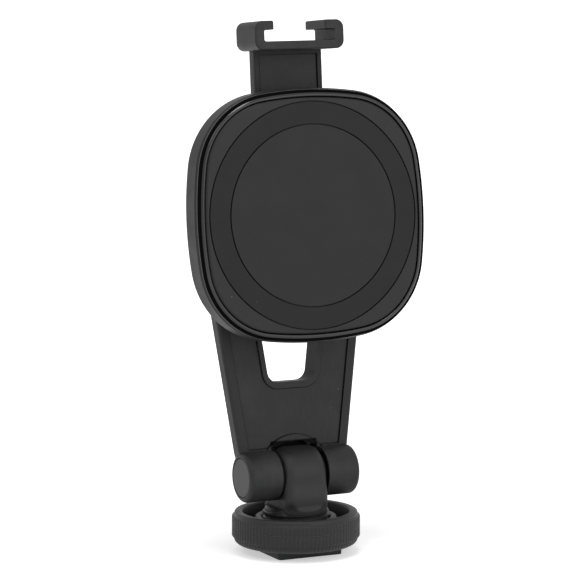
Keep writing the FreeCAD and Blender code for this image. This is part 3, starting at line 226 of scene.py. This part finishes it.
# a look for each material slot, then looks of their own for the face's disc and cover, the arm and the ring
BLACK = (0.0145, 0.0145, 0.0149)
COVER = (0.0095, 0.0095, 0.0098)
LOOKS = {
    "body_plastic": (moulded, BLACK, 0.5, dict(edge_wear_and_highlight=0.3, dust=0.004, specular=0.3)),
    "shell_plastic": (moulded, COVER, 0.5, dict(depth=0.000014, edge_wear_and_highlight=0.25, specular=0.24)),
    "bezel_plastic": (moulded, (0.008, 0.008, 0.0085), 0.2, dict(depth=0.000002, mottle=0.06, specular=0.42)),
    "cap_plastic": (moulded, (0.036, 0.036, 0.037), 0.5, dict(edge_wear_and_highlight=0.2, specular=0.3)),
    "inner_plastic": (moulded, (0.04, 0.04, 0.04), 0.5, {}),
    "silicone": (moulded, (0.0105, 0.0105, 0.011), 0.6,
                 dict(grain=5000.0, depth=0.000008, dust=0.02, specular=0.22)),
    "washer_rubber": (moulded, (0.015, 0.015, 0.015), 0.7, {}),
    "bush_plastic": (moulded, (0.6, 0.58, 0.52), 0.4, {}),
    "steel": (plated, (0.55, 0.55, 0.56), 0.3, {}),
    "spring_steel": (plated, (0.42, 0.42, 0.44), 0.35, {}),
    "magnet": (plated, (0.62, 0.61, 0.6), 0.22, {}),
    "yoke_steel": (plated, (0.5, 0.5, 0.5), 0.4, dict(stretch=(1.0, 0.1, 1.0))),
    "face_disc": (moulded, (0.0085, 0.0085, 0.0088), 0.5, dict(depth=0.000008, dust=0.003)),
    # the cover's pale rim is a painted highlight, laid on through its edge wear
    "face_cover": (moulded, COVER, 0.5, dict(edge_wear_and_highlight=0.6, dust=0.003, specular=0.28)),
    "arm_plastic": (moulded, (0.0215, 0.0215, 0.022), 0.5,
                    dict(edge_wear_and_highlight=0.3, dust=0.004, specular=0.2, streaks=0.08)),
    "ring_plastic": (moulded, BLACK, 0.5, dict(edge_wear_and_highlight=0.3, dust=0.004, specular=0.3)),
}
looks = {name: kind(name, colour, roughness, **rest)
         for name, (kind, colour, roughness, rest) in LOOKS.items()}
# painted shade round the knuckle, in the arch of the arm
painted_arch_shade(looks["arm_plastic"])

# bands, as distances in mm along a direction, a grey and a share of the gloss: the ring's parting line is a
# paler thread of flash, the shell's front edge has a pale painted highlight with a dark painted shade inside
# it where a seam would lie, and the outer edge of the bezel is dark with painted shade along that seam
UP = (0.0, 0.0, 1.0)
FACING = (0.0, -math.cos(LEAN), math.sin(LEAN))
FRONT_EDGE = FACE + HINGE_Z * math.sin(LEAN)
for name, direction, low, high, level, gloss in (
        ("ring_plastic", UP, 6.92, 7.08, 0.045, 1.0),
        # a pale band on the shell's front edge: a painted highlight
        ("shell_plastic", FACING, FRONT_EDGE - 1.08, FRONT_EDGE - 0.88, 0.12, 1.0),
        # a dark band inside it with less gloss: painted shade where a seam would lie
        ("shell_plastic", FACING, FRONT_EDGE - 0.88, FRONT_EDGE, 0.0015, 0.1),
        # the bezel's outer flank darkened with less gloss: painted shade from that seam
        ("bezel_plastic", FACING, FRONT_EDGE - 1.5, FRONT_EDGE - 0.34, 0.002, 0.15)):
    banded(looks[name], direction, low, high, level, gloss)

OWN_LOOK = {"centre_disc": "face_disc", "front_cover": "face_cover", "arm_frame": "arm_plastic"}
slot_of = {row["node"]: row["material_slot"] for row in frame["record"]["subparts"]}
for name, node in nodes.items():
    node.data.materials.clear()
    node.data.materials.append(looks[OWN_LOOK.get(name, slot_of[name])])


# Mesh helpers, all in mm until the mesh is made

class Shape:
    """Vertices and faces gathered piece by piece."""

    def __init__(self):
        self.points = []
        self.faces = []
        self.count = 0

    def put(self, points):
        points = np.asarray(points, float).reshape(-1, 3)
        first = self.count
        self.points.append(points)
        self.count += len(points)
        return first

    def grid(self, rows, close_rows=False, close_columns=False, flip=False):
        """A sheet through rows of points, each row a list of the same length."""
        rows = np.asarray(rows, float)
        count, wide = rows.shape[:2]
        first = self.put(rows)
        for i in range(count if close_rows else count - 1):
            near, far = first + i * wide, first + (i + 1) % count * wide
            for j in range(wide if close_columns else wide - 1):
                after = (j + 1) % wide
                a, b, c, d = near + j, near + after, far + after, far + j
                self.faces.append((a, d, c, b) if flip else (a, b, c, d))

    def cap(self, loop, flip=False):
        """A flat fan from the middle of a closed loop of points."""
        loop = np.asarray(loop, float)
        first = self.put(np.vstack([loop, loop.mean(0)]))
        middle = first + len(loop)
        for i in range(len(loop)):
            a, b = first + i, first + (i + 1) % len(loop)
            self.faces.append((b, a, middle) if flip else (a, b, middle))

    def make(self, name, look, body, replaced, angle):
        """The piece itself, with edges sharper than an angle in degrees left sharp."""
        mesh = bpy.data.meshes.new(name)
        mesh.from_pydata((np.vstack(self.points) * MM).tolist(), [], self.faces)
        mesh.validate()
        mesh.shade_smooth()
        mesh.set_sharp_from_angle(angle=math.radians(angle))
        mesh.materials.append(look)
        thing = bpy.data.objects.new(name, mesh)
        scene.collection.objects.link(thing)
        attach(thing, body)
        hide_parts(*replaced)


def round_row(radius, angle, height):
    """Points round Z at one height, with one radius or a radius for each angle."""
    return np.stack([radius * np.cos(angle), radius * np.sin(angle), np.full(len(angle), float(height))], 1)


def soft_step(x):
    x = np.clip(x, 0.0, 1.0)
    return x * x * (3 - 2 * x)


# Foot, threaded post, stem and knuckle: one moulding, with heights above the foot's underside

# the foot: its plan, and how far its outline draws in at each height
FOOT_WIDTH, FOOT_DEPTH, FOOT_CORNER, FOOT_CORNER_POINTS = 17.9, 17.7, 1.0, 7
FOOT_LEVELS = ((0.3, 0.0), (0.12, 0.06), (0.0, 0.26), (0.0, 1.8), (0.05, 1.95), (0.2, 2.0))


def foot_loop(inset, height):
    across, along = FOOT_WIDTH / 2 - FOOT_CORNER, FOOT_DEPTH / 2 - FOOT_CORNER
    radius = FOOT_CORNER - inset
    loop = []
    for k, (side, end) in enumerate(((1, 1), (-1, 1), (-1, -1), (1, -1))):
        for angle in np.linspace(k * math.pi / 2, (k + 1) * math.pi / 2, FOOT_CORNER_POINTS):
            x, y = side * across + radius * math.cos(angle), end * along + radius * math.sin(angle)
            loop.append((x, y, height))
    return loop


stem = Shape()
loops = [foot_loop(inset, height) for inset, height in FOOT_LEVELS]
stem.grid(loops, close_columns=True)
stem.cap(loops[0], flip=True)
stem.cap(loops[-1])

# the post: a right-hand thread with its crest 0.12 mm inside the CAD post's radius, and a bevel at the top;
# crest and flank are shares of half a pitch
POST, POST_START, POST_TOP, POST_POINTS = 8.6, 1.9, 11.9, 180
BEVEL, BEVEL_SLOPE = 1.2, 0.9
PITCH, THREAD_DEPTH, THREAD_START = 1.5, 0.62, 0.68
CREST, CREST_SINK, FLANK = 0.22, 0.12, 0.55
BEVEL_START = POST_TOP - BEVEL
THREAD_ROWS, BEVEL_ROWS, ROW_GAP = 107, 20, 0.05

angle = np.linspace(0, TURN, POST_POINTS, endpoint=False)
rows = []
for height in np.concatenate([np.linspace(POST_START, BEVEL_START, THREAD_ROWS),
                              np.linspace(BEVEL_START + ROW_GAP, POST_TOP, BEVEL_ROWS)]):
    phase = (height - THREAD_START) / PITCH - angle / TURN
    off = np.abs(phase - np.round(phase)) * 2
    thread = POST - THREAD_DEPTH * soft_step((off - CREST) / FLANK)
    outermost = POST - CREST_SINK - max(0.0, height - BEVEL_START) * BEVEL_SLOPE
    rows.append(round_row(np.minimum(thread, outermost), angle, height))
stem.grid(rows, close_columns=True)
stem.cap(rows[-1])

# the stem and knuckle in side view, as y and z with a normal: up the front, over the knuckle and down the
# back; STEM is half the width, and the front grows fuller over the first FRONT_FADE below FRONT_TOP
STEM, KNUCKLE, FRONT, BACK = 6.0, 7.1, 7.8, 6.6
STEM_START, STEM_FINE = 10.9, 13.6
FRONT_TOP, FRONT_FADE, BACK_FADE = 19.0, 4.5, 0.35
FLARE_ROWS, STEM_ROWS, KNUCKLE_ROWS = 18, 11, 61

heights = np.concatenate([np.linspace(STEM_START, STEM_FINE, FLARE_ROWS, endpoint=False),
                          np.linspace(STEM_FINE, HINGE_Z, STEM_ROWS, endpoint=False)])
outline = []
for z in heights:
    outline.append((-KNUCKLE - (FRONT - KNUCKLE) * soft_step((FRONT_TOP - z) / FRONT_FADE), z, -1.0, 0.0))
for turn in np.linspace(math.pi, 0, KNUCKLE_ROWS):
    reach = KNUCKLE + (BACK - KNUCKLE) * soft_step((BACK_FADE - turn) / BACK_FADE)
    ny, nz = math.cos(turn), math.sin(turn)
    outline.append((reach * ny, HINGE_Z + reach * nz, ny, nz))
for z in heights[::-1]:
    outline.append((BACK, z, 1.0, 0.0))

# the side view swept across X, with flat sides, long edges whose rounding grows with height, and a flare at
# the front and back into the post; below the post's top it stays inside the thread, so that the ring can rise
FLARE, FLARE_TOP, FLARE_SHARE = 1.5, 13.2, 0.8
ROUNDING, ROUNDING_MORE, ROUNDING_START, ROUNDING_RISE = 2.3, 0.7, 17.0, 9.0
INSIDE, LIMIT_MORE, LIMIT_RISE = 0.08, 0.6, 3.5
EDGE_POINTS, FLAT_POINTS, FLAT_REACH = 9, 13, 0.85

rows = []
for y, z, ny, nz in outline:
    drop = min(FLARE, max(0.0, FLARE_TOP - z))
    out = FLARE_SHARE * (FLARE - math.sqrt(FLARE ** 2 - drop ** 2))
    rounding = ROUNDING + ROUNDING_MORE * soft_step((z - ROUNDING_START) / ROUNDING_RISE)
    edge = [(-STEM + rounding * (1 - math.cos(turn)), rounding * (1 - math.sin(turn)))
            for turn in np.linspace(0, math.pi / 2, EDGE_POINTS)]
    flat = [(share * (STEM - rounding), 0.0)
            for share in np.linspace(-FLAT_REACH, FLAT_REACH, FLAT_POINTS)]
    row = edge + flat + [(-x, sink) for x, sink in edge[::-1]]
    points = np.array([(x, y - ny * sink + ny * out, z - nz * sink) for x, sink in row])
    widest = POST - INSIDE + LIMIT_MORE * soft_step((points[:, 2] - POST_TOP) / LIMIT_RISE)
    points[:, :2] *= np.minimum(1.0, widest / np.hypot(points[:, 0], points[:, 1]))[:, None]
    rows.append(points)
stem.grid(rows, flip=True)
stem.cap([row[0] for row in rows])
stem.cap([row[-1] for row in rows], flip=True)
stem.make("stem_moulding", looks["body_plastic"], "base", ["shoe_stem"], angle=38)


# Lock ring

# fine ribs round the band and, fainter, round the lower part, and a ridge between two grooves where the
# halves of the mould met; the profile runs out along the underside, up the band, over the rim, down into the
# dish, over its collar and down the bore, as a radius, a height above RING_BASE and a share of the ribs' depth
RIBS, RIB_DEPTH, RIB_POINTS, RIB_SHARPNESS = 96, 0.17, 8, 1.6
RING_BASE = 2.35
RING_PROFILE = (
    (12.15, 0.0, 0), (14.6, 0.0, 0), (14.85, 0.05, 0), (15.1, 0.18, 0.3), (15.4, 0.42, 0.5),
    (15.62, 0.68, 0.6), (15.74, 0.95, 0.7), (15.78, 1.3, 0.7), (15.8, 1.6, 0.8), (15.9, 1.72, 0.9),
    (16.15, 1.82, 1), (16.28, 1.9, 1), (16.35, 2.05, 1), (16.35, 3.2, 1), (16.35, 4.45, 1),
    (16.25, 4.53, 0.2), (16.26, 4.58, 0), (16.34, 4.62, 0), (16.34, 4.68, 0), (16.26, 4.72, 0),
    (16.25, 4.77, 0.2), (16.35, 4.85, 1), (16.35, 6.0, 1), (16.35, 6.85, 1), (16.3, 7.02, 0.9),
    (16.1, 7.15, 0.5), (15.9, 7.2, 0), (15.8, 7.3, 0), (15.76, 7.6, 0), (15.7, 7.95, 0),
    (15.6, 8.16, 0), (15.4, 8.3, 0), (15.1, 8.35, 0), (14.2, 8.35, 0), (13.95, 8.3, 0),
    (13.76, 8.14, 0), (13.65, 7.9, 0), (13.5, 5.2, 0), (13.42, 4.6, 0), (13.2, 4.4, 0), (11.0, 4.4, 0),
    (10.72, 4.5, 0), (10.6, 4.8, 0), (10.42, 6.6, 0), (10.36, 6.8, 0), (10.2, 6.95, 0), (10.0, 7.0, 0),
    (9.3, 7.0, 0), (9.05, 6.93, 0), (8.75, 6.6, 0), (8.68, 6.4, 0), (8.68, 0.5, 0), (12.15, 0.5, 0),
)

angle = np.linspace(0, TURN, RIBS * RIB_POINTS, endpoint=False)
wave = (0.5 - 0.5 * np.cos(angle * RIBS)) ** RIB_SHARPNESS
ring = Shape()
ring.grid([round_row(radius - RIB_DEPTH * share * wave, angle, height + RING_BASE)
           for radius, height, share in RING_PROFILE], close_rows=True, close_columns=True)
ring.make("lock_ring_ribbed", looks["ring_plastic"], "ring", ["lock_ring"], angle=50)


# Bezel

# a lens-like section carried round the plate's outline of four long bows and four round corners; the section
# gives how far each point lies inside the outline and behind the face
PLATE_HALF, BOW, CORNER = 31.75, 95.0, 20.8
BOW_POINTS, CORNER_POINTS = 16, 28
BEZEL_SECTION = (
    (1.02, 0.7), (1.06, 0.5), (1.2, 0.36), (1.5, 0.12), (1.62, 0.06), (1.85, 0.06),
    (1.98, 0.12), (2.05, 0.26), (2.07, 0.5), (2.07, 3.0), (1.12, 3.0), (1.12, 0.9),
)


def bowed_outline():
    """The outline's points, and its outward normals."""
    away = BOW - PLATE_HALF
    middle = (math.sqrt(2 * (BOW - CORNER) ** 2 - away ** 2) - away) / 2
    reach = math.atan2(middle, middle + away)
    arcs = (
        ((-away, 0.0), BOW, np.linspace(-reach, reach, BOW_POINTS, endpoint=False)),
        ((middle, middle), CORNER, np.linspace(reach, math.pi / 2 - reach, CORNER_POINTS, endpoint=False)),
    )
    points, normals = [], []
    for quarter in range(4):
        turn = quarter * math.pi / 2
        spin = np.array([[math.cos(turn), -math.sin(turn)], [math.sin(turn), math.cos(turn)]])
        for centre, radius, angles in arcs:
            for a in angles:
                normal = np.array([math.cos(a), math.sin(a)])
                points.append(spin @ (np.array(centre) + radius * normal))
                normals.append(spin @ normal)
    return np.array(points), np.array(normals)


outline_points, outline_normals = bowed_outline()
rows = []
for inset, depth in BEZEL_SECTION:
    flat = outline_points - outline_normals * inset
    rows.append(on_plate(flat[:, 0], flat[:, 1], FACE - depth))
bezel = Shape()
bezel.grid(rows, close_rows=True, close_columns=True, flip=True)
bezel.make("bezel_trim", looks["bezel_plastic"], "plate", ["bezel"], angle=40)


# Shell screws with cross recesses

# the profile gives a radius and a distance in from the back of the head
SCREW_PLACE, SCREW_BACK, SCREW_POINTS = 22.2739, FACE - 8.5, 48
HEAD, HEAD_HEIGHT, SHANK, SHANK_LENGTH, POINT, TIP = 1.7, 1.1, 0.9, 6.0, 0.4, 0.0001
RECESS_DEPTH, SLOT_HALF, SLOT_SLOPE, SLOT_REACH, SLOT_RISE = 0.55, 0.27, 0.14, 1.06, 0.35
SCREW_END = HEAD_HEIGHT + SHANK_LENGTH
SCREW_PROFILE = (
    (TIP, 0.0), (0.2, 0.0), (0.32, 0.0), (0.44, 0.0), (0.6, 0.0), (0.8, 0.0), (0.95, 0.0), (1.05, 0.0),
    (1.3, 0.0), (1.5, 0.06), (1.64, 0.18), (HEAD, 0.4), (HEAD, HEAD_HEIGHT), (SHANK, HEAD_HEIGHT),
    (SHANK, SCREW_END - POINT), (SHANK * 0.5, SCREW_END), (TIP, SCREW_END),
)


def screw_rows(x, y):
    angle = np.linspace(0, TURN, SCREW_POINTS, endpoint=False)
    rows = []
    for radius, lift in SCREW_PROFILE:
        px, py = radius * np.cos(angle), radius * np.sin(angle)
        recess = np.zeros(SCREW_POINTS)
        if lift == 0.0:
            arm = np.minimum(np.abs(px), np.abs(py))
            reach = np.maximum(np.abs(px), np.abs(py))
            recess = (RECESS_DEPTH * soft_step((SLOT_HALF - arm) / SLOT_SLOPE)
                      * soft_step((SLOT_REACH - reach) / SLOT_RISE))
        rows.append(on_plate(x + px, y + py, SCREW_BACK + lift + recess))
    return rows


screws = Shape()
for x in (SCREW_PLACE, -SCREW_PLACE):
    for y in (SCREW_PLACE, -SCREW_PLACE):
        screws.grid(screw_rows(x, y), close_columns=True)
screws.make("shell_screws_crosshead", looks["steel"], "plate", ["shell_screws"], angle=32)


# Stage, light and camera, in metres

WHITE = neutral(1.0)
FLOOR_HALF, FLOOR_LEVEL = 30.0, 0.86
GLOW_NEAR, GLOW_FAR, GLOW_LEAST, GLOW_MOST = 0.02, 0.3, 0.5, 1.0
FILL = 0.45
AIM = (0.0, 0.0, 0.07)


def seen_rays(tree):
    """One for the rays that show the background: camera, glossy and transmission."""
    rays = add(tree, "ShaderNodeLightPath").outputs
    first = maths(tree, "MAXIMUM", rays["Is Camera Ray"], rays["Is Glossy Ray"])
    return maths(tree, "MAXIMUM", first, rays["Is Transmission Ray"])


# the floor takes the object's shade, and glows white away from it for the rays that show the background
floor_material, tree = new_material("floor")
far = add(tree, "ShaderNodeVectorMath", {0: object_place(tree)}, operation="LENGTH").outputs["Value"]
strength = ramp(tree, far, GLOW_NEAR, GLOW_FAR, GLOW_LEAST, GLOW_MOST)
lit = add(tree, "ShaderNodeBsdfDiffuse", {0: neutral(FLOOR_LEVEL)}).outputs[0]
glow = add(tree, "ShaderNodeEmission", {0: WHITE, 1: strength}).outputs[0]
both = add(tree, "ShaderNodeAddShader", {0: lit, 1: glow}).outputs[0]
mix = add(tree, "ShaderNodeMixShader", {0: seen_rays(tree), 1: lit, 2: both})
add(tree, "ShaderNodeOutputMaterial", {0: mix.outputs[0]})

mesh = bpy.data.meshes.new("floor")
mesh.from_pydata([(x * FLOOR_HALF, y * FLOOR_HALF, 0.0) for x, y in ((-1, -1), (1, -1), (1, 1), (-1, 1))], [],
                 [(0, 1, 2, 3)])
mesh.materials.append(floor_material)
floor = bpy.data.objects.new("floor", mesh)
scene.collection.objects.link(floor)

world = bpy.data.worlds.new("studio")
scene.world = world
world.use_nodes = True
tree = world.node_tree
tree.nodes.clear()
white = add(tree, "ShaderNodeBackground", {0: WHITE, 1: 1.0}).outputs[0]
fill = add(tree, "ShaderNodeBackground", {0: WHITE, 1: FILL}).outputs[0]
mix = add(tree, "ShaderNodeMixShader", {0: seen_rays(tree), 1: fill, 2: white})
add(tree, "ShaderNodeOutputWorld", {0: mix.outputs[0]})


def lamp(name, place, size, power):
    """A soft square lamp that faces the object."""
    data = bpy.data.lights.new(name, "AREA")
    data.shape = "SQUARE"
    data.size = size
    data.energy = power
    thing = bpy.data.objects.new(name, data)
    scene.collection.objects.link(thing)
    thing.location = place
    thing.rotation_euler = (Vector(AIM) - Vector(place)).to_track_quat("-Z", "Y").to_euler()


lamp("key", (-0.65, -0.35, 0.85), 0.4, 1.5)
lamp("top", (-0.1, -0.22, 0.95), 0.3, 2.6)
lamp("front", (0.4, -1.1, 0.5), 0.9, 3.8)

camera = bpy.data.cameras.new("camera")
camera.sensor_fit = "HORIZONTAL"
camera.sensor_width = 36.0
camera.lens = 197.585
camera.clip_start = 0.01
camera.clip_end = 100.0
eye = bpy.data.objects.new("camera", camera)
scene.collection.objects.link(eye)
target = Vector((-0.002238, 0.0, 0.067838))
azimuth, elevation, distance = math.radians(-25.828), math.radians(7.549), 0.797718
level = math.cos(elevation)
back = Vector((math.sin(azimuth) * level, -math.cos(azimuth) * level, math.sin(elevation)))
eye.location = target + back * distance
eye.rotation_euler = (-back).to_track_quat("-Z", "Y").to_euler()
scene.camera = eye

scene.view_settings.view_transform = "Standard"
